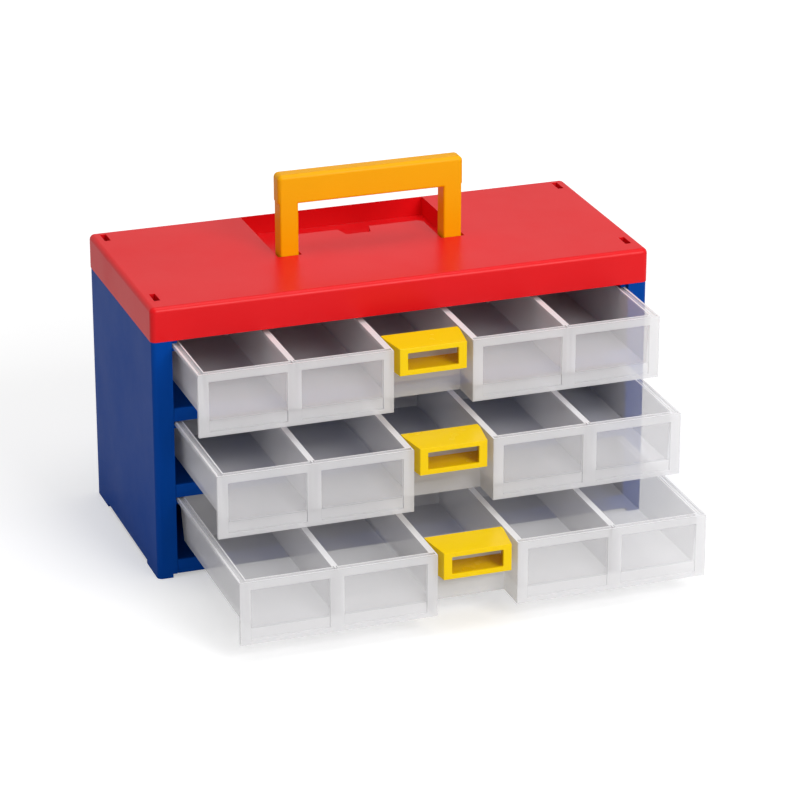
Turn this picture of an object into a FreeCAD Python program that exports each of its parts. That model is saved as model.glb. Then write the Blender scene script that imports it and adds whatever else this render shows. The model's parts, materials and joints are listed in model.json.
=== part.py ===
import FreeCAD, Part
import os

V = FreeCAD.Vector

# Sizes in millimetres. While a piece is built, x = 0 is the middle plane, y = 0 is the lid's
# front face with +y running to the back, and z = 0 is the ground. The whole box is moved to
# its own origin at the end.

# Lid
lid_width = 399.0
lid_depth = 179.0
lid_height = 27.0
lid_wall = 2.7
deck_thickness = 3.0
lid_front_corner = 4.5
lid_back_corner = 4.5
lid_edge_round = 4.0
lid_reveal = 0.5            # the case stands in from the lid's faces by this much

# Catches that hold the lid, two on each side panel
catch_inset = 9.3           # lid's side face to the middle of a catch
catch_front_setback = 24.0  # lid's front face to the middle of a catch
catch_back_setback = 14.5   # lid's back face to the middle of a catch
catch_length = 11.0
catch_thickness = 2.0
catch_barb = 0.8
catch_barb_height = 0.8
catch_step = 1.0            # barb's step above the boss's underside
catch_end_gap = 2.0         # slot to catch, at each end
catch_side_gap = 0.6        # slot to catch, at each side
catch_boss_height = 4.0     # thicker deck round each slot
catch_boss_wall = 1.6

# Handle and the recess that it folds into
handle_width = 150.3
handle_height = 64.6        # top of the grip above the deck
grip_height = 23.5
grip_overhang = 1.2         # grip past the outside of each leg
grip_corner = 4.0
grip_top_round = 3.5
grip_under_round = 2.0
leg_width = 14.8
leg_depth = 15.0
leg_round = 1.5
leg_inner_gap = 2.0
grip_end_gap = 1.0
handle_stop_gap = 0.4       # leg to the recess's front wall
handle_flush_gap = 0.4      # folded handle below the deck
handle_floor_gap = 0.6      # folded handle above the recess's floor
finger_gap_front = 11.5     # folded grip to the recess's front wall
finger_gap_back = 18.9
recess_wall = 2.5
recess_chamfer = 4.0
finger_notch_mouth = 26.0
finger_notch_end = 20.0
finger_notch_depth = 12.8
pin_radius = 3.0
pin_seat_gap = 0.02         # radial, in the lid
pin_turning_gap = 0.05      # radial, in the handle

# Case
foot_height = 3.0
foot_width = 12.0
foot_length = 32.0
panel_wall = 3.0
stile_width = 15.5
stile_thickness = 3.0
return_width = 11.5
bottom_flange_width = 10.5
bottom_flange_thickness = 3.0
back_thickness = 3.0
back_rib_width = 9.5
back_rib_thickness = 2.5
back_top_gap = 2.5          # below the recess
plate_thickness = 2.5       # shelves and base
plate_fit = 0.2             # between plates and what holds them
lock_rib_width = 6.5
lock_rib_thickness = 2.0
rail_thickness = 3.0
ledge_thickness = 3.0
tongue_thickness = 2.5
tongue_gap = 0.6            # tongue to the lid's skirt
tongue_setback = 16.0
tongue_top_gap = 7.0

# Runners in the case
runner_thickness = 2.5
runner_side_gap = 0.6
runner_gap = 0.3            # flange above the runner
runner_setback = 0.5        # behind the stile
keeper_lift = 2.2           # keeper above the drawer's rim
keeper_thickness = 1.6
keeper_lid_gap = 0.2        # top drawer's keepers below the lid
stop_length = 3.0
stop_lift = 0.4
stop_gap = 0.3

# Drawers
front_height = 49.5
front_thickness = 3.0
front_hang = 9.5            # front below the tray's floor
front_side_gap = 1.0        # front to stile
rail_gap = 1.0              # front to the rails above and below it
drawer_gap = 12.6           # rim to the lower edge of the front above it
base_gap = 15.3             # lowest front's lower edge above the ground
window_depth = 1.0
window_stile = 8.3
window_mullion = 11.0
window_top = 6.3
window_bottom = 4.0
notch_width = 62.4
notch_depth = 27.0
centre_wall = 2.5
tray_wall = 2.0
tray_floor = 2.0
tray_draft = 3.0            # side wall's lean from rim to floor
fixed_divider = 2.4
rim_width = 6.0
rim_height = 2.8            # of rims and flanges
rim_groove_width = 3.0
rim_groove_depth = 0.8
flange_width = 4.5
tray_back_gap = 1.3         # closed tray to the back panel
lug_length = 3.0
lug_height = 1.8

# Drop-in dividers and their guides
divider_place = 108.6       # middle plane to the middle of a divider
divider_thickness = 2.0
divider_bead = 5.5
divider_fit = 0.2
guide_width = 2.2
guide_depth = 3.0

# Drawer pulls
pull_front_width = 53.0
pull_side_gap = 0.6         # back of the pull to the notch's sides
pull_height = 21.5
pull_wall = 2.4
pull_fit = 0.2
pull_window_width = 40.0
pull_window_top = 4.0
pull_window_bottom = 4.1
pull_lip_height = 8.0

# How far short of its front stop each drawer stands
top_drawer_short = 97.0
middle_drawer_short = 52.4
bottom_drawer_short = 0.5

# Levels
bottom_rim = base_gap + front_height
middle_rim = bottom_rim + drawer_gap + front_height
top_rim = middle_rim + drawer_gap + front_height
lid_bottom = top_rim + keeper_lift + keeper_thickness + keeper_lid_gap
deck_top = lid_bottom + lid_height
deck_under = deck_top - deck_thickness
boss_under = deck_under - catch_boss_height
panel_bottom = foot_height
plate_seat = panel_bottom + bottom_flange_thickness

# Widths, as halves from the middle plane
lid_half = lid_width / 2
case_half = lid_half - lid_reveal
wall_inner = case_half - panel_wall
stile_inner = case_half - stile_width
front_half = stile_inner - front_side_gap
tray_half = front_half - flange_width
runner_inner = tray_half + runner_side_gap
notch_half = notch_width / 2
fixed_outer = notch_half + fixed_divider
leg_outer = handle_width / 2 - grip_overhang
leg_inner = leg_outer - leg_width
slot_inner = leg_inner - leg_inner_gap
slot_outer = handle_width / 2 + grip_end_gap
back_half = lid_half - lid_back_corner - plate_fit
tongue_outer = lid_half - lid_wall - tongue_gap
tongue_inner = tongue_outer - tongue_thickness
catch_middle = lid_half - catch_inset

# Depths
case_front = lid_reveal
case_back = lid_depth - lid_reveal
stile_back = case_front + stile_thickness
back_panel_back = case_back - panel_wall - plate_fit
back_panel_front = back_panel_back - back_thickness
rib_back = back_panel_front - plate_fit
rib_front = rib_back - back_rib_thickness
plate_back = rib_front - plate_fit
runner_front = stile_back + runner_setback
plate_shoulder = lid_front_corner + plate_fit
tray_depth = back_panel_front - case_front - tray_back_gap
tray_height = front_height - front_hang
stop_back = runner_front + stop_length
full_travel = case_front + tray_depth - lug_length - stop_back - stop_gap

# Handle's pivot, and the recess round the folded handle
leg_radius = leg_depth / 2
pivot_z = deck_top - handle_flush_gap - leg_radius
recess_floor = pivot_z - leg_radius - handle_floor_gap
recess_under = recess_floor - recess_wall
handle_top = deck_top + handle_height
grip_bottom = handle_top - grip_height
recess_back = lid_depth - lid_wall
pivot_y = recess_back - finger_gap_back - (handle_top - pivot_z)
slot_front = pivot_y - leg_radius - handle_stop_gap
trough_front = pivot_y + (grip_bottom - pivot_z) - finger_gap_front
notch_front = trough_front - finger_notch_depth

# Drawers: rim height, and how far each is pulled out
drawers = {
    "top": (top_rim, full_travel - top_drawer_short),
    "middle": (middle_rim, full_travel - middle_drawer_short),
    "bottom": (bottom_rim, full_travel - bottom_drawer_short),
}
front_reach = case_front - max(opened for rim, opened in drawers.values())
origin_y = (front_reach + lid_depth) / 2


def box(x0, x1, y0, y1, z0, z1):
    return Part.makeBox(x1 - x0, y1 - y0, z1 - z0, V(x0, y0, z0))


def mirrored(shape):
    return shape.mirror(V(0, 0, 0), V(1, 0, 0))


def joined(shapes):
    return shapes[0].multiFuse(shapes[1:]).removeSplitter()


def both_sides(shapes):
    return shapes + [mirrored(shape) for shape in shapes]


def prism(points, direction):
    corners = [V(*point) for point in points]
    return Part.Face(Part.makePolygon(corners + corners[:1])).extrude(direction)


def is_straight(edge):
    return isinstance(edge.Curve, Part.Line)


def is_along(edge, direction):
    return is_straight(edge) and abs(edge.tangentAt(edge.FirstParameter).dot(direction)) > 0.999


def rounded_edges(shape, radius, wanted):
    return shape.makeFillet(radius, [edge for edge in shape.Edges if wanted(edge)])


def plan_block(half, y0, y1, z0, z1, front_corner, back_corner):
    """A block round the middle plane, with its upright edges rounded."""
    upright = V(0, 0, 1)
    middle = (y0 + y1) / 2
    block = box(-half, half, y0, y1, z0, z1)
    block = rounded_edges(block, front_corner, lambda e: is_along(e, upright) and e.CenterOfMass.y < middle)
    return rounded_edges(block, back_corner, lambda e: is_along(e, upright) and e.CenterOfMass.y > middle)


def case_block(inset, z0, z1):
    """The case's outline in plan, drawn in from the lid's faces by the inset."""
    return plan_block(lid_half - inset, inset, lid_depth - inset, z0, z1,
                      lid_front_corner - inset, lid_back_corner - inset)


def catch_places():
    return (catch_front_setback, lid_depth - catch_back_setback)


def make_lid():
    shell = case_block(0.0, lid_bottom, deck_top)
    shell = rounded_edges(shell, lid_edge_round, lambda e: e.BoundBox.ZMin > deck_top - 0.01)
    lid = shell.cut(case_block(lid_wall, lid_bottom - 1, deck_under))
    tub_outer = slot_outer + recess_wall
    tub = [
        box(-tub_outer, tub_outer, trough_front - recess_wall, recess_back, recess_under, deck_under),
        box(-finger_notch_mouth / 2 - recess_wall, finger_notch_mouth / 2 + recess_wall,
            notch_front - recess_wall, trough_front, recess_under, deck_under),
    ]
    leg_slot = box(slot_inner - recess_wall, tub_outer, slot_front - recess_wall, trough_front,
                   recess_under, deck_under)
    bosses = [catch_boss(place) for place in catch_places()]
    lid = joined([lid] + tub + both_sides([leg_slot] + bosses))
    lid = lid.cut(recess_space())
    for side in (-1, 1):
        lid = lid.cut(pin(side, pin_radius + pin_seat_gap))
    for place in catch_places():
        for slot in both_sides(catch_slot(place)):
            lid = lid.cut(slot)
    return lid


def recess_space():
    right = [
        (finger_notch_end / 2, notch_front),
        (finger_notch_mouth / 2, trough_front),
        (slot_inner - recess_chamfer, trough_front),
        (slot_inner, trough_front - recess_chamfer),
        (slot_inner, slot_front),
        (slot_outer, slot_front),
        (slot_outer, recess_back),
    ]
    left = [(-x, y) for x, y in reversed(right)]
    above = deck_top + 1
    return prism([(x, y, recess_floor) for x, y in right + left], V(0, 0, above - recess_floor))


def slot_outline(place):
    """A catch slot's plan: its lower and upper inner sides, its outer side and its two ends."""
    lower_inner = catch_middle - catch_thickness / 2 - catch_side_gap
    upper_inner = lower_inner - catch_barb - catch_side_gap
    outer = catch_middle + catch_thickness / 2 + catch_side_gap
    reach = catch_length / 2 + catch_end_gap
    return lower_inner, upper_inner, outer, place - reach, place + reach


def catch_boss(place):
    upper_inner, outer, y0, y1 = slot_outline(place)[1:]
    return box(upper_inner - catch_boss_wall, outer + catch_boss_wall, y0 - catch_boss_wall,
               y1 + catch_boss_wall, boss_under, deck_under)


def catch_slot(place):
    """A slot through the deck and its boss, wider above so that the barb has a step to hold."""
    lower_inner, upper_inner, outer, y0, y1 = slot_outline(place)
    lower = box(lower_inner, outer, y0, y1, boss_under - 1, deck_top)
    upper = box(upper_inner, outer, y0, y1, boss_under + catch_step, deck_top + 1)
    return [lower, upper]


def catch(place):
    y0 = place - catch_length / 2
    y1 = place + catch_length / 2
    x0 = catch_middle - catch_thickness / 2
    x1 = catch_middle + catch_thickness / 2
    barb_bottom = boss_under + catch_step + plate_fit
    barb_inner = x0 - catch_side_gap - catch_barb
    stem = box(x0, x1, y0, y1, top_rim + keeper_lift, barb_bottom + catch_barb_height)
    barb = prism(
        [(x1, y0, barb_bottom), (barb_inner, y0, barb_bottom), (x0, y0, barb_bottom + catch_barb_height),
         (x1, y0, barb_bottom + catch_barb_height)],
        V(0, catch_length, 0))
    return [stem, barb]


def pin(side, radius):
    start = slot_inner - recess_wall
    end = slot_outer + recess_wall
    return Part.makeCylinder(radius, end - start, V(side * start, pivot_y, pivot_z), V(side, 0, 0))


def make_handle():
    half = handle_width / 2
    y0 = pivot_y - leg_radius
    y1 = pivot_y + leg_radius
    across = V(0, 1, 0)
    along = V(1, 0, 0)
    middle = handle_top - grip_height / 2
    grip = box(-half, half, y0, y1, grip_bottom, handle_top)
    grip = rounded_edges(grip, grip_corner, lambda e: is_along(e, across) and e.CenterOfMass.z > middle)
    grip = rounded_edges(grip, grip_top_round, lambda e: is_along(e, along) and e.CenterOfMass.z > middle)
    grip = rounded_edges(grip, grip_under_round, lambda e: is_along(e, along) and e.CenterOfMass.z < middle)
    leg = box(leg_inner, leg_outer, y0, y1, pivot_z, middle)
    leg = leg.fuse(Part.makeCylinder(leg_radius, leg_width, V(leg_inner, pivot_y, pivot_z), along))
    leg = leg.removeSplitter()
    leg = rounded_edges(leg, leg_round, lambda e: is_along(e, V(0, 0, 1)) or not is_straight(e))
    handle = joined([grip] + both_sides([leg]))
    for side in (-1, 1):
        handle = handle.cut(pin(side, pin_radius + pin_turning_gap))
    return handle


def make_side_panel():
    """The right panel. The left one is its mirror image."""
    outline = case_block(lid_reveal, panel_bottom, lid_bottom)
    core = case_block(lid_reveal + panel_wall, panel_bottom - 1, lid_bottom + 1)
    middle = lid_depth / 2
    front_part = box(stile_inner, lid_half, 0, middle, panel_bottom, lid_bottom)
    back_part = box(case_half - return_width, lid_half, middle, lid_depth, panel_bottom, lid_bottom)
    wall = outline.cut(core).common(front_part.fuse(back_part))
    pieces = [wall] + panel_feet() + panel_seats()
    for rim, opened in drawers.values():
        pieces += runner(rim)
    for rim in (bottom_rim, middle_rim):
        pieces.append(lock_rib(shelf_seat(rim)))
    for place in catch_places():
        pieces += catch(place)
    return joined(pieces)


def panel_feet():
    outline = case_block(lid_reveal, 0.0, panel_bottom)
    inner = case_half - foot_width
    front = box(inner, lid_half, 0, case_front + foot_length, 0, panel_bottom)
    back = box(inner, lid_half, case_back - foot_length, lid_depth, 0, panel_bottom)
    return [outline.common(front), outline.common(back)]


def panel_seats():
    """What the base, the back and the lid stand on or in."""
    return_front = case_back - panel_wall
    flange_inner = wall_inner - bottom_flange_width
    flange = box(flange_inner, wall_inner, stile_back, return_front, panel_bottom, plate_seat)
    ledge_bottom = lid_bottom - ledge_thickness
    rib = box(wall_inner - back_rib_width, wall_inner, rib_front, rib_back, panel_bottom, ledge_bottom)
    y0 = tongue_setback
    y1 = lid_depth - tongue_setback
    ledge = box(tongue_inner, case_half, y0, y1, ledge_bottom, lid_bottom)
    tongue = box(tongue_inner, tongue_outer, y0, y1, ledge_bottom, deck_under - tongue_top_gap)
    return [flange, rib, ledge, tongue, lock_rib(plate_seat)]


def shelf_seat(rim):
    return rim + keeper_lift + keeper_thickness


def lock_rib(seat):
    """A rib over the edge of a plate that stands on the seat."""
    z0 = seat + plate_thickness + plate_fit
    return box(wall_inner - lock_rib_width, wall_inner, runner_front, rib_front, z0, z0 + lock_rib_thickness)


def runner(rim):
    """A drawer's runner, the keeper above it and the stop under the keeper."""
    top = rim - rim_height - runner_gap
    ledge = box(runner_inner, wall_inner, runner_front, rib_front, top - runner_thickness, top)
    keeper = box(runner_inner, wall_inner, runner_front, rib_front, rim + keeper_lift, shelf_seat(rim))
    stop = box(runner_inner, stile_inner, runner_front, stop_back, rim + stop_lift, shelf_seat(rim))
    return [ledge, keeper, stop]


def make_back_panel():
    return box(-back_half, back_half, back_panel_front, back_panel_back, plate_seat,
               recess_under - back_top_gap)


def plate(seat, rail_low, rail_high):
    """A plate between the side panels, narrow between the stiles, with a rail along its front edge."""
    half = wall_inner - plate_fit
    rail_half = stile_inner - plate_fit
    top = seat + plate_thickness
    return joined([
        box(-half, half, plate_shoulder, plate_back, seat, top),
        box(-rail_half, rail_half, case_front, plate_shoulder, seat, top),
        box(-rail_half, rail_half, case_front, case_front + rail_thickness, rail_low, rail_high),
    ])


def make_shelf(rim):
    return plate(shelf_seat(rim), rim + rail_gap, rim + drawer_gap - rail_gap)


def make_base():
    return plate(plate_seat, panel_bottom, base_gap - rail_gap)


def wall_x(z):
    """Half-width of the tray's leaning side wall, outside, at a height below its rim."""
    return tray_half + tray_draft * z / tray_height


def channel(inset, y0, y1, z0, z1):
    low = wall_x(z0) - inset
    high = wall_x(z1) - inset
    return prism([(-high, y0, z1), (high, y0, z1), (low, y0, z0), (-low, y0, z0)], V(0, y1 - y0, 0))


def make_tray():
    """A tray with y = 0 at its front plane and z = 0 at its rim."""
    floor_top = tray_floor - tray_height
    inner_back = tray_depth - tray_wall
    wall_back = notch_depth + centre_wall
    fronts = both_sides([box(notch_half, front_half, 0, front_thickness, -front_height, 0)])
    tray = joined([channel(0.0, 0, tray_depth, -tray_height, 0)] + fronts)
    tray = tray.cut(channel(tray_wall, front_thickness, inner_back, floor_top, 1))
    tray = tray.cut(box(-notch_half, notch_half, -1, notch_depth, -front_height - 1, 1))
    wall_top = -pull_wall - pull_fit
    pieces = [tray, box(-fixed_outer, fixed_outer, notch_depth, wall_back, -front_height, wall_top)]
    pieces += both_sides([
        box(notch_half, fixed_outer, 0, wall_back, -front_height, 0),
        box(notch_half, fixed_outer, wall_back, inner_back, floor_top, 0),
    ])
    pieces += both_sides(tray_rims() + [tray_lug()] + divider_guides())
    pieces.append(box(-tray_half, tray_half, tray_depth - rim_width, tray_depth, -rim_height, 0))
    tray = joined(pieces)
    for space in both_sides(front_windows() + rim_grooves() + divider_slots()):
        tray = tray.cut(space)
    return tray


def tray_rims():
    """Thick upper edges of the front, the side and the divider beside the notch."""
    return [
        box(notch_half, tray_half, 0, rim_width, -rim_height, 0),
        box(tray_half - tray_wall, tray_half + flange_width, 0, tray_depth, -rim_height, 0),
        box(notch_half, notch_half + divider_bead, 0, tray_depth, -rim_height, 0),
    ]


def tray_lug():
    """A lug on the flange's end that meets the runner's stop when the drawer is out."""
    return box(runner_inner, tray_half + flange_width, tray_depth - lug_length, tray_depth,
               -rim_height, lug_height)


def divider_ends():
    return divider_thickness / 2 + divider_fit


def divider_guides():
    floor_top = tray_floor - tray_height
    inner_back = tray_depth - tray_wall
    guides = []
    for x0 in (divider_place - divider_ends() - guide_width, divider_place + divider_ends()):
        guides.append(box(x0, x0 + guide_width, front_thickness, front_thickness + guide_depth, floor_top, 0))
        guides.append(box(x0, x0 + guide_width, inner_back - guide_depth, inner_back, floor_top, 0))
    return guides


def divider_slots():
    """Gaps in the front and back rims that a divider drops through."""
    x0 = divider_place - divider_ends()
    x1 = divider_place + divider_ends()
    return [
        box(x0, x1, front_thickness, rim_width + 1, -rim_height - 1, 1),
        box(x0, x1, tray_depth - rim_width - 1, tray_depth - tray_wall, -rim_height - 1, 1),
    ]


def front_windows():
    z0 = window_bottom - front_height
    z1 = -window_top
    half_mullion = window_mullion / 2
    outer = box(divider_place + half_mullion, front_half - window_stile, -1, window_depth, z0, z1)
    inner = box(notch_half + window_stile, divider_place - half_mullion, -1, window_depth, z0, z1)
    return [outer, inner]


def rim_grooves():
    edge = (rim_width - rim_groove_width) / 2
    side_inner = tray_half - tray_wall + edge
    front = box(notch_half + edge, front_half - edge, edge, rim_width - edge, -rim_groove_depth, 1)
    side = box(side_inner, side_inner + rim_groove_width, edge, tray_depth - edge, -rim_groove_depth, 1)
    return [front, side]


def make_divider():
    """The right divider, in its tray's place."""
    half = divider_thickness / 2
    floor_top = tray_floor - tray_height
    web = box(divider_place - half, divider_place + half, front_thickness + divider_fit,
              tray_depth - tray_wall - divider_fit, floor_top, 0)
    bead_front = max(rim_width, front_thickness + guide_depth) + divider_fit
    bead_back = tray_depth - max(rim_width, tray_wall + guide_depth) - divider_fit
    bead = box(divider_place - divider_bead / 2, divider_place + divider_bead / 2, bead_front, bead_back,
               -rim_height, 0)
    return joined([web, bead])


def sleeve_block(inset, y0, y1, z0, z1):
    """The pull's sleeve, narrow in front and as wide as the notch behind, drawn in by the inset."""
    front = pull_front_width / 2 - inset
    back = notch_half - pull_side_gap - inset
    return prism([(-front, y0, z0), (front, y0, z0), (back, y1, z0), (-back, y1, z0)], V(0, 0, z1 - z0))


def make_pull():
    """A sleeve in the notch, open behind, that hooks over the tray's centre wall."""
    half = notch_half - pull_side_gap
    sleeve_back = notch_depth - pull_fit
    lip_front = notch_depth + centre_wall + pull_fit
    lip_back = lip_front + pull_wall
    pull = joined([
        sleeve_block(0.0, 0, sleeve_back, -pull_height, 0),
        box(-half, half, sleeve_back, lip_back, -pull_wall, 0),
        box(-half, half, lip_front, lip_back, -pull_lip_height, 0),
    ])
    inside = sleeve_block(pull_wall, pull_wall, notch_depth, pull_wall - pull_height, -pull_wall)
    window = box(-pull_window_width / 2, pull_window_width / 2, -1, pull_wall + 1,
                 pull_window_bottom - pull_height, -pull_window_top)
    return pull.cut(inside).cut(window)


def make_nodes():
    panel = make_side_panel()
    nodes = {
        "left_side_panel": mirrored(panel),
        "right_side_panel": panel,
        "back_panel": make_back_panel(),
        "base_panel": make_base(),
        "lower_shelf": make_shelf(bottom_rim),
        "upper_shelf": make_shelf(middle_rim),
        "lid": make_lid(),
        "handle": make_handle(),
        "handle_pin_left": pin(-1, pin_radius),
        "handle_pin_right": pin(1, pin_radius),
    }
    tray = make_tray()
    divider = make_divider()
    pull = make_pull()
    for name, (rim, opened) in drawers.items():
        place = V(0, case_front - opened, rim)
        nodes[name + "_tray"] = tray.translated(place)
        nodes[name + "_left_divider"] = mirrored(divider).translated(place)
        nodes[name + "_right_divider"] = divider.translated(place)
        nodes[name + "_pull"] = pull.translated(place)
    return nodes


os.makedirs("parts", exist_ok=True)
for name, shape in make_nodes().items():
    placed = shape.translated(V(0, -origin_y, 0))
    placed.exportStep("parts/" + name + ".step")
    print(name, "solids", len(placed.Solids), "valid", placed.isValid(), "volume", round(placed.Volume))
print("full travel", round(full_travel, 3), "opened", [round(opened, 3) for rim, opened in drawers.values()])
print("handle pivot", round(pivot_y - origin_y, 3), round(pivot_z, 3))
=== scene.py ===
import bpy
import json
from math import cos, radians, sin
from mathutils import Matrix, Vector


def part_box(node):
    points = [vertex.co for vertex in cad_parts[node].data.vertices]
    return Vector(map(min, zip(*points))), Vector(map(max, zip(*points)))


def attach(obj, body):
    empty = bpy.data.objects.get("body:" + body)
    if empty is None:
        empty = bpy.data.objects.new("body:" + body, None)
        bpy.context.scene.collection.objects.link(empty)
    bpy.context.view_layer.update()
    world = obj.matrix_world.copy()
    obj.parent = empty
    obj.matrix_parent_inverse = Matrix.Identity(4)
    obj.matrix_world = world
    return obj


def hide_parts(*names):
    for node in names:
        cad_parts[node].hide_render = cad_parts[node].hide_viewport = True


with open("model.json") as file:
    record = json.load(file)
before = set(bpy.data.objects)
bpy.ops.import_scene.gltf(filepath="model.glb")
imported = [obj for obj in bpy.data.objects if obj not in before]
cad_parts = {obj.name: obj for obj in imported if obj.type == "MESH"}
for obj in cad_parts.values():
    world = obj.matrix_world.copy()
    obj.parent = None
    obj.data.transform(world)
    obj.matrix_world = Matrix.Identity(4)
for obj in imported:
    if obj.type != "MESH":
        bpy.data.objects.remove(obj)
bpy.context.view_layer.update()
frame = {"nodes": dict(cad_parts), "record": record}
bodyOf = {node: body for body, nodes in frame["record"]["behaviour"]["bodies"].items() for node in nodes}
drawerNames = ("top", "middle", "bottom")
print("frame loaded:", len(frame["nodes"]), "nodes")


# small helpers for materials

noiseMiddle = {"From Min": 0.3, "From Max": 0.7}
cloudDetail = 3.0
handledDetail = 5.0
handledRoughness = 0.65
peelDetail = 2.0
grainDetail = 1.0
peelDepth = 0.0004
grainDepth = 0.0001
white = (1.0, 1.0, 1.0, 1.0)
mixFactor = 0
mixValues = {"first": 2, "second": 3, "result": 0}
mixColours = {"first": 6, "second": 7, "result": 2}


def newMaterial(name):
    material = bpy.data.materials.new(name)
    material.use_nodes = True
    tree = material.node_tree
    return material, tree, tree.nodes["Principled BSDF"]


def addNode(tree, kind, inputs=None, **settings):
    node = tree.nodes.new(kind)
    for key, value in settings.items():
        setattr(node, key, value)
    for key, value in (inputs or {}).items():
        if isinstance(value, bpy.types.NodeSocket):
            tree.links.new(value, node.inputs[key])
        else:
            node.inputs[key].default_value = value
    return node


def objectPlace(tree):
    return addNode(tree, "ShaderNodeTexCoord").outputs["Object"]


def noiseAt(tree, place, scale, detail, roughness=0.5):
    noise = addNode(tree, "ShaderNodeTexNoise", {"Vector": place, "Scale": scale, "Detail": detail,
                                                 "Roughness": roughness})
    return noise.outputs["Fac"]


def spreadOver(tree, value, low, high):
    spread = addNode(tree, "ShaderNodeMapRange", {"Value": value, "To Min": low, "To Max": high,
                                                  **noiseMiddle})
    return spread.outputs["Result"]


def shadeOf(colour, factor):
    return tuple(min(1.0, channel * factor) for channel in colour) + (1.0,)


def mixed(tree, factor, first, second, sockets, **settings):
    mix = addNode(tree, "ShaderNodeMix", {mixFactor: factor, sockets["first"]: first,
                                          sockets["second"]: second}, **settings)
    return mix.outputs[sockets["result"]]


def mixedColour(tree, factor, first, second):
    return mixed(tree, factor, first, second, mixColours, data_type="RGBA")


def mouldedPlastic(name, finish):
    material, tree, shader = newMaterial(name)
    place = objectPlace(tree)
    cloud = noiseAt(tree, place, finish["cloudScale"], cloudDetail)
    colour = mixedColour(tree, cloud, shadeOf(finish["colour"], 1.0 - finish["colourSpread"]),
                         shadeOf(finish["colour"], 1.0 + finish["colourSpread"]))
    tree.links.new(colour, shader.inputs["Base Color"])
    handled = noiseAt(tree, place, finish["handledScale"], handledDetail, handledRoughness)
    gloss = spreadOver(tree, handled, finish["roughness"] - finish["roughnessSpread"],
                       finish["roughness"] + finish["roughnessSpread"])
    tree.links.new(gloss, shader.inputs["Roughness"])
    peel = noiseAt(tree, place, finish["peelScale"], peelDetail)
    grain = noiseAt(tree, place, finish["grainScale"], grainDetail)
    ripple = addNode(tree, "ShaderNodeBump", {"Height": peel, "Strength": finish["peel"],
                                              "Distance": peelDepth})
    bump = addNode(tree, "ShaderNodeBump", {"Height": grain, "Strength": finish["grain"],
                                            "Distance": grainDepth, "Normal": ripple.outputs["Normal"]})
    tree.links.new(bump.outputs["Normal"], shader.inputs["Normal"])
    shader.inputs["IOR"].default_value = finish["ior"]
    shader.inputs["Specular IOR Level"].default_value = finish["shine"]
    return material


# the lid, the case and the handle: opaque satin mouldings

lidFinish = {"colour": (0.80, 0.005, 0.009), "colourSpread": 0.04, "cloudScale": 9.0, "roughness": 0.33,
             "roughnessSpread": 0.04, "handledScale": 14.0, "peelScale": 140.0, "peel": 0.03,
             "grainScale": 900.0, "grain": 0.02, "ior": 1.47, "shine": 0.25}
caseFinish = {"colour": (0.0003, 0.058, 0.34), "colourSpread": 0.06, "cloudScale": 8.0, "roughness": 0.38,
              "roughnessSpread": 0.05, "handledScale": 12.0, "peelScale": 130.0, "peel": 0.04,
              "grainScale": 900.0, "grain": 0.05, "ior": 1.47, "shine": 0.05}
handleFinish = {"colour": (0.92, 0.42, 0.0005), "colourSpread": 0.04, "cloudScale": 16.0, "roughness": 0.36,
                "roughnessSpread": 0.05, "handledScale": 22.0, "peelScale": 150.0, "peel": 0.04,
                "grainScale": 900.0, "grain": 0.04, "ior": 1.47, "shine": 0.12}
lidRed = mouldedPlastic("lidRed", lidFinish)
caseBlue = mouldedPlastic("caseBlue", caseFinish)
handleOrange = mouldedPlastic("handleOrange", handleFinish)


# the trays and the pulls: plastic that lets some of what is behind it show

def translucentPlastic(name, finish, cover, roughness):
    material, tree, shader = newMaterial(name)
    place = objectPlace(tree)
    cloud = noiseAt(tree, place, finish["cloudScale"], cloudDetail)
    darker, lighter = finish["shades"]
    colour = mixedColour(tree, cloud, shadeOf(finish["colour"], darker), shadeOf(finish["colour"], lighter))
    tree.links.new(colour, shader.inputs["Base Color"])
    smoother, rougher = finish["roughnessSpread"]
    gloss = spreadOver(tree, cloud, roughness - smoother, roughness + rougher)
    tree.links.new(gloss, shader.inputs["Roughness"])
    grain = noiseAt(tree, place, finish["grainScale"], grainDetail)
    bump = addNode(tree, "ShaderNodeBump", {"Height": grain, "Strength": finish["grain"],
                                            "Distance": grainDepth})
    tree.links.new(bump.outputs["Normal"], shader.inputs["Normal"])
    shader.inputs["Alpha"].default_value = cover
    shader.inputs["IOR"].default_value = finish["ior"]
    shader.inputs["Specular IOR Level"].default_value = finish["shine"]
    return material


# trays: frosted, clearer where the front's windows are thin; the rim tops are more opaque and whiter as a
# painted highlight

trayFinish = {"colour": (0.88, 0.87, 0.885), "shades": (0.97, 1.02), "wallCover": 0.40, "frameCover": 0.55,
              "windowCover": 0.22, "rimHighlightCover": 0.92, "roughness": 0.36, "windowRoughness": 0.24,
              "roughnessSpread": (0.04, 0.04), "ior": 1.49, "shine": 0.5, "cloudScale": 20.0,
              "grainScale": 900.0, "grain": 0.08}
trayFront = {"thickness": 0.003, "windowSides": (0.0395, 0.1031, 0.1141, 0.1742), "windowTop": 0.0063,
             "clearBottom": 0.0372, "lugHeight": 0.0018}
trayWall = translucentPlastic("trayWall", trayFinish, trayFinish["wallCover"], trayFinish["roughness"])
trayFrame = translucentPlastic("trayFrame", trayFinish, trayFinish["frameCover"], trayFinish["roughness"])
trayWindow = translucentPlastic("trayWindow", trayFinish, trayFinish["windowCover"],
                                trayFinish["windowRoughness"])
# painted highlight: the rim tops get a near-opaque white material so they look lit
trayRimHighlight = translucentPlastic("trayRimHighlight", trayFinish, trayFinish["rimHighlightCover"], trayFinish["roughness"])


# pulls: yellow

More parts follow.
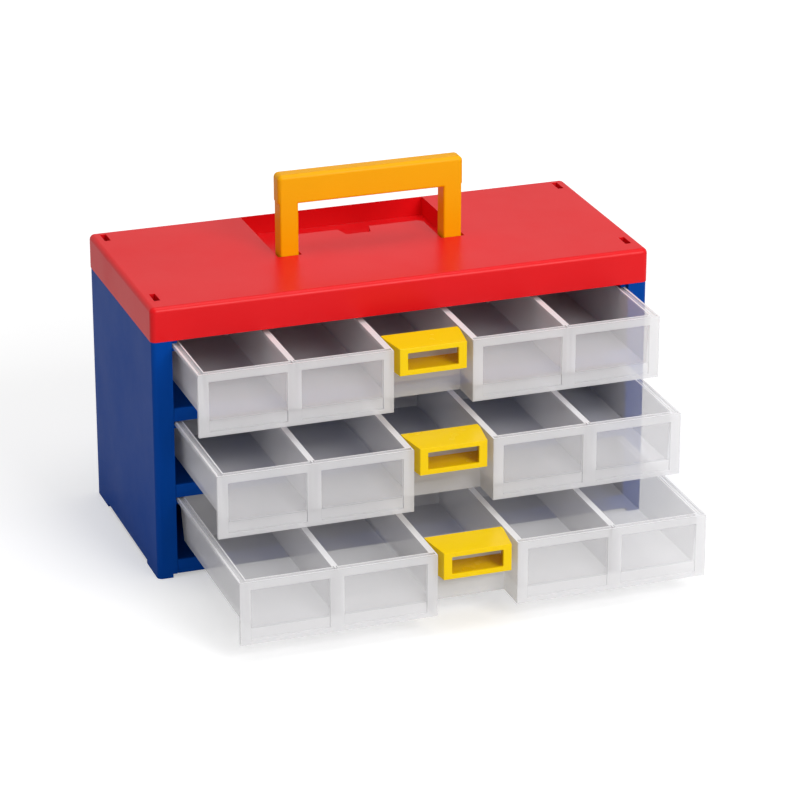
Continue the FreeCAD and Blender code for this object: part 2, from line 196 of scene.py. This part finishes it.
pullFinish = {"colour": (1.0, 0.66, 0.0004), "shades": (0.96, 1.03), "cover": 0.97, "roughness": 0.24,
              "roughnessSpread": (0.03, 0.05), "ior": 1.49, "shine": 0.2, "cloudScale": 40.0,
              "grainScale": 900.0, "grain": 0.04}
pullYellow = translucentPlastic("pullYellow", pullFinish, pullFinish["cover"], pullFinish["roughness"])
print("materials made")


# each moulding again with its edges rounded

edgeRounds = {"case": 0.0005, "lid": 0.0006, "handle": 0.0005, "tray": 0.00035, "divider": 0.0004,
              "pull": 0.0005, "pin": 0.0004}
edgeSegments = 2
mergeDistance = 0.000002
flatAngle = radians(0.5)
sharpAngle = radians(32)
flatTolerance = 0.0001
squareFacing = 0.99
rimHighlightSlot = 1
windowSlot = 2
frameSlot = 3


def selectFaces(piece, wanted):
    bpy.ops.object.mode_set(mode="OBJECT")
    for part in (piece.data.vertices, piece.data.edges, piece.data.polygons):
        part.foreach_set("select", [False] * len(part))
    for face in piece.data.polygons:
        face.select = wanted(face)
    bpy.ops.object.mode_set(mode="EDIT")
    bpy.ops.mesh.select_mode(type="FACE")


def thinWindows(piece, front, low, high):
    rim = high.z - front["lugHeight"]
    inside = low.y + front["thickness"]
    levels = [((0, 0, rim - front[key]), (0, 0, 1)) for key in ("windowTop", "clearBottom")]
    sides = [((side * x, 0, 0), (1, 0, 0)) for x in front["windowSides"] for side in (-1, 1)]
    for point, normal in levels + sides:
        selectFaces(piece, lambda face: abs(face.normal.y) > squareFacing
                    and low.y + flatTolerance < face.center.y < inside + flatTolerance)
        bpy.ops.mesh.bisect(plane_co=point, plane_no=normal)
    bpy.ops.object.mode_set(mode="OBJECT")
    innerStart, innerEnd, outerStart, outerEnd = front["windowSides"]
    lowest = rim - front["clearBottom"] - flatTolerance
    highest = rim - front["windowTop"] + flatTolerance
    count = 0
    for face in piece.data.polygons:
        corners = [piece.data.vertices[index].co for index in face.vertices]
        wide = any(all(start - flatTolerance < abs(corner.x) < end + flatTolerance for corner in corners)
                   for start, end in ((innerStart, innerEnd), (outerStart, outerEnd)))
        tall = all(lowest < corner.z < highest for corner in corners)
        near = face.center.y < inside + flatTolerance and abs(face.normal.y) > squareFacing
        if wide and tall and near:
            face.material_index = windowSlot
            count += 1
        elif near:
            face.material_index = frameSlot
    return count


# painted highlight: flat upward faces at the rim height get the more opaque white rim material
def paintRimHighlight(piece, rim):
    for face in piece.data.polygons:
        if face.normal.z > squareFacing and abs(face.center.z - rim) < flatTolerance:
            face.material_index = rimHighlightSlot


def dressTray(piece, low, high):
    windowFaces = thinWindows(piece, trayFront, low, high)
    print(piece.name, "window faces", windowFaces)
    paintRimHighlight(piece, high.z - trayFront["lugHeight"])


def dressDivider(piece, low, high):
    # the divider's rim tops get the painted-highlight rim material too
    paintRimHighlight(piece, high.z)


def roundedCopy(nodeName, edgeWidth, materials, dress=None):
    source = frame["nodes"][nodeName]
    piece = bpy.data.objects.new(nodeName + "_moulding", source.data.copy())
    bpy.context.scene.collection.objects.link(piece)
    bpy.ops.object.select_all(action="DESELECT")
    piece.select_set(True)
    bpy.context.view_layer.objects.active = piece
    bpy.ops.mesh.customdata_custom_splitnormals_clear()
    bpy.ops.object.mode_set(mode="EDIT")
    bpy.ops.mesh.select_all(action="SELECT")
    bpy.ops.mesh.remove_doubles(threshold=mergeDistance)
    bpy.ops.mesh.dissolve_limited(angle_limit=flatAngle)
    bpy.ops.object.mode_set(mode="OBJECT")
    bpy.ops.object.modifier_add(type="BEVEL")
    bevel = piece.modifiers[-1]
    bevel.width = edgeWidth
    bevel.segments = edgeSegments
    bevel.limit_method = "ANGLE"
    bevel.angle_limit = sharpAngle
    bpy.ops.object.modifier_apply(modifier=bevel.name)
    piece.data.materials.clear()
    for material in materials:
        piece.data.materials.append(material)
    if dress is not None:
        dress(piece, *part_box(nodeName))
    bpy.ops.object.shade_smooth_by_angle(angle=sharpAngle)
    bpy.ops.object.modifier_add(type="WEIGHTED_NORMAL")
    weighted = piece.modifiers[-1]
    weighted.keep_sharp = True
    bpy.ops.object.modifier_apply(modifier=weighted.name)
    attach(piece, bodyOf[nodeName])
    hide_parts(nodeName)


casePieces = ("left_side_panel", "right_side_panel", "back_panel", "base_panel", "lower_shelf", "upper_shelf")
for nodeName in casePieces:
    roundedCopy(nodeName, edgeRounds["case"], [caseBlue])
roundedCopy("lid", edgeRounds["lid"], [lidRed])
roundedCopy("handle", edgeRounds["handle"], [handleOrange])
for side in ("left", "right"):
    roundedCopy("handle_pin_" + side, edgeRounds["pin"], [lidRed])
print("lid, case and handle rounded")
for name in drawerNames:
    roundedCopy(name + "_tray", edgeRounds["tray"], [trayWall, trayRimHighlight, trayWindow, trayFrame],
                dressTray)
    for side in ("left", "right"):
        roundedCopy(name + "_" + side + "_divider", edgeRounds["divider"], [trayWall, trayRimHighlight], dressDivider)
    roundedCopy(name + "_pull", edgeRounds["pull"], [pullYellow])
print("drawers rounded")


# floor, light and camera

studio = {"floorSize": 8.0, "floorColour": (0.75, 0.75, 0.75, 1.0), "floorRoughness": 0.9, "floorShine": 0.0,
          "nearGlow": 0.42, "farGlow": 0.80, "nearEdge": 0.35, "farEdge": 1.5, "roomLight": 0.40,
          "mirrorLight": 0.60, "backdrop": 1.0}


def calculated(tree, operation, first, second):
    return addNode(tree, "ShaderNodeMath", {0: first, 1: second}, operation=operation).outputs[0]


def seenDirectly(tree):
    path = addNode(tree, "ShaderNodeLightPath")
    return calculated(tree, "MAXIMUM", path.outputs["Is Camera Ray"], path.outputs["Is Transmission Ray"])


def studioFloor(settings):
    bpy.ops.object.select_all(action="DESELECT")
    bpy.ops.mesh.primitive_plane_add(size=settings["floorSize"])
    floor = bpy.context.object
    floor.name = "studio_floor"
    material, tree, shader = newMaterial("floorPaper")
    shader.inputs["Base Color"].default_value = settings["floorColour"]
    shader.inputs["Roughness"].default_value = settings["floorRoughness"]
    shader.inputs["Specular IOR Level"].default_value = settings["floorShine"]
    shader.inputs["Emission Color"].default_value = white
    reach = addNode(tree, "ShaderNodeVectorMath", {"Vector": objectPlace(tree)}, operation="LENGTH")
    glow = addNode(tree, "ShaderNodeMapRange",
                   {"Value": reach.outputs["Value"], "From Min": settings["nearEdge"],
                    "From Max": settings["farEdge"], "To Min": settings["nearGlow"],
                    "To Max": settings["farGlow"]}, interpolation_type="SMOOTHSTEP")
    seenGlow = calculated(tree, "MULTIPLY", seenDirectly(tree), glow.outputs["Result"])
    tree.links.new(seenGlow, shader.inputs["Emission Strength"])
    floor.data.materials.append(material)


def studioRoom(settings):
    world = bpy.data.worlds.new("studioRoom")
    bpy.context.scene.world = world
    world.use_nodes = True
    tree = world.node_tree
    background = tree.nodes["Background"]
    path = addNode(tree, "ShaderNodeLightPath")
    indirect = mixed(tree, path.outputs["Is Glossy Ray"], settings["roomLight"], settings["mirrorLight"],
                     mixValues)
    strength = mixed(tree, seenDirectly(tree), indirect, settings["backdrop"], mixValues)
    tree.links.new(strength, background.inputs["Strength"])
    background.inputs["Color"].default_value = white


lamps = {"keyLamp": {"place": (0.7, -2.0, 1.4), "size": 1.1, "watts": 30.0},
         "topLamp": {"place": (0.1, -0.1, 2.1), "size": 1.4, "watts": 15.0},
         "fillLamp": {"place": (-1.9, -1.4, 1.0), "size": 1.0, "watts": 0.5}}
lampTarget = Vector((0.0, 0.0, 0.12))


def addLamp(name, settings):
    place = Vector(settings["place"])
    bpy.ops.object.light_add(type="AREA", location=place)
    lamp = bpy.context.object
    lamp.name = name
    lamp.rotation_euler = (lampTarget - place).to_track_quat("-Z", "Y").to_euler()
    lamp.data.size = settings["size"]
    lamp.data.energy = settings["watts"]


photoCamera = {"azimuth": -19.45, "elevation": 22.184, "distance": 2.7062, "lens": 159.227,
               "sensor": 36.0, "target": (-0.00426, -0.00965, 0.12156)}


def addCamera(settings):
    azimuth = radians(settings["azimuth"])
    elevation = radians(settings["elevation"])
    back = Vector((sin(azimuth) * cos(elevation), -cos(azimuth) * cos(elevation), sin(elevation)))
    bpy.ops.object.camera_add(location=Vector(settings["target"]) + back * settings["distance"])
    camera = bpy.context.object
    camera.rotation_euler = (-back).to_track_quat("-Z", "Y").to_euler()
    camera.data.lens = settings["lens"]
    camera.data.sensor_width = settings["sensor"]
    bpy.context.scene.camera = camera


studioFloor(studio)
studioRoom(studio)
for lampName, lampSettings in lamps.items():
    addLamp(lampName, lampSettings)
addCamera(photoCamera)
bpy.context.scene.view_settings.view_transform = "Standard"
print("studio ready")
